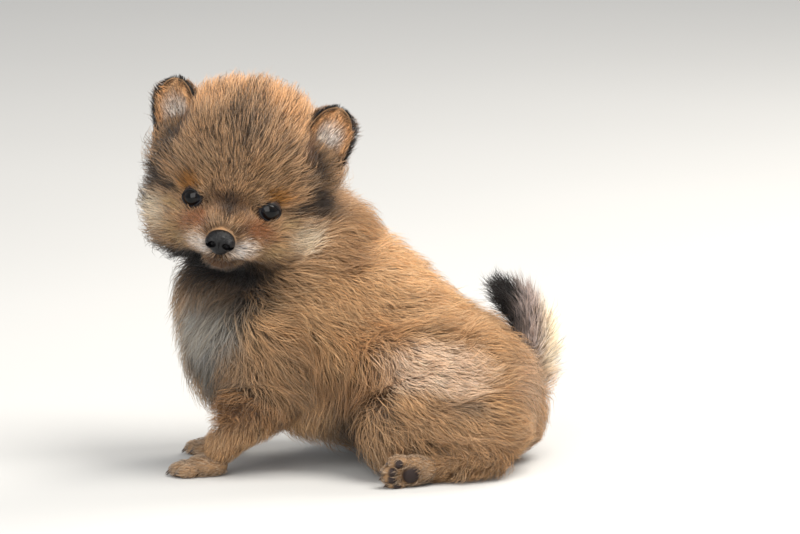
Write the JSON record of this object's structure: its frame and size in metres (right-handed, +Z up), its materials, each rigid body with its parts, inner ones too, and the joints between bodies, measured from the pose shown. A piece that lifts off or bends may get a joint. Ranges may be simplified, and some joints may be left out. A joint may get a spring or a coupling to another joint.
{
  "type": "sitting pomeranian puppy, still life-size model",
  "caption": "Life-size still model of a young pomeranian sitting on its rump with its feet forward and its head turned to its left.",
  "frame": {"origin": "on the floor, under the middle of the box around the whole model", "axes": "+Z up; -Y the way the chest faces; +X the dog's left, towards which the head is turned"},
  "size_m": [0.143, 0.2142, 0.1986],
  "materials": {
    "coat": "long soft orange-tan puppy coat, shaded with dark brown and silver grey",
    "chin": "short pale fur",
    "tail": "long soft fur, black with a cream-grey fringe",
    "leg": "short tan fur, dark pads and claws",
    "ear": "soft fur, black at the rim and orange inside",
    "eye": "wet and glossy",
    "nose": "moist pebbled skin"
  },
  "bodies": {
    "root": {"head": "coat", "lower_jaw": "chin", "neck": "coat", "chest": "coat", "belly_and_back": "coat", "rump": "coat", "thigh_left": "coat", "thigh_right": "coat", "tail": "tail", "front_leg_left": "leg", "front_leg_right": "leg", "front_paw_left": "leg", "front_paw_right": "leg", "hind_foot_left": "leg", "hind_foot_right": "leg", "hind_paw_left": "leg", "hind_paw_right": "leg", "ear_left": "ear", "ear_right": "ear", "eye_left": "eye", "eye_right": "eye", "nose": "nose"}
  },
  "joints": []
}
